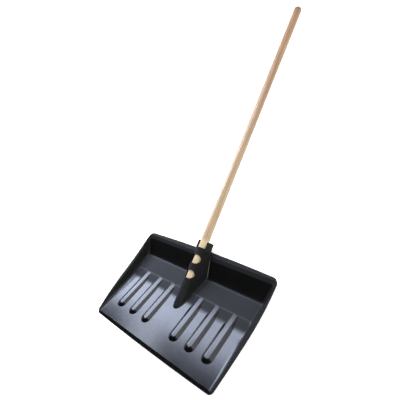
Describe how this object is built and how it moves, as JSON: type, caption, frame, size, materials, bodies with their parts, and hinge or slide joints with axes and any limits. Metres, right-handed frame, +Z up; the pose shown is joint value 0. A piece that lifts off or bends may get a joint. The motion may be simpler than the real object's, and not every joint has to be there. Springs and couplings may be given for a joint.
{
  "type": "snow shovel",
  "caption": "Snow shovel: a wide black moulded scoop with raised floor ribs and an open-strap socket, on a long straight turned wooden handle.",
  "frame": {"origin": "on the ground under the middle of the whole tool (middle of its bounding box in X and Y, its lowest point in Z)", "axes": "+Z up with the tool lying at rest, scoop up; +Y from the scoop's front edge to the far end of the handle; X across the scoop, which is symmetric about X = 0"},
  "size_m": [0.5432, 1.3088, 0.1241],
  "materials": {
    "black_moulding": "satin injection-moulded polypropylene with a fine texture and light scuffs",
    "turned_wood": "sanded pale hardwood under a thin clear varnish",
    "zinc_screw": "bright zinc plate"
  },
  "bodies": {
    "root": {"scoop": "black_moulding", "handle": "turned_wood", "fixing_screws": "zinc_screw"}
  },
  "joints": []
}
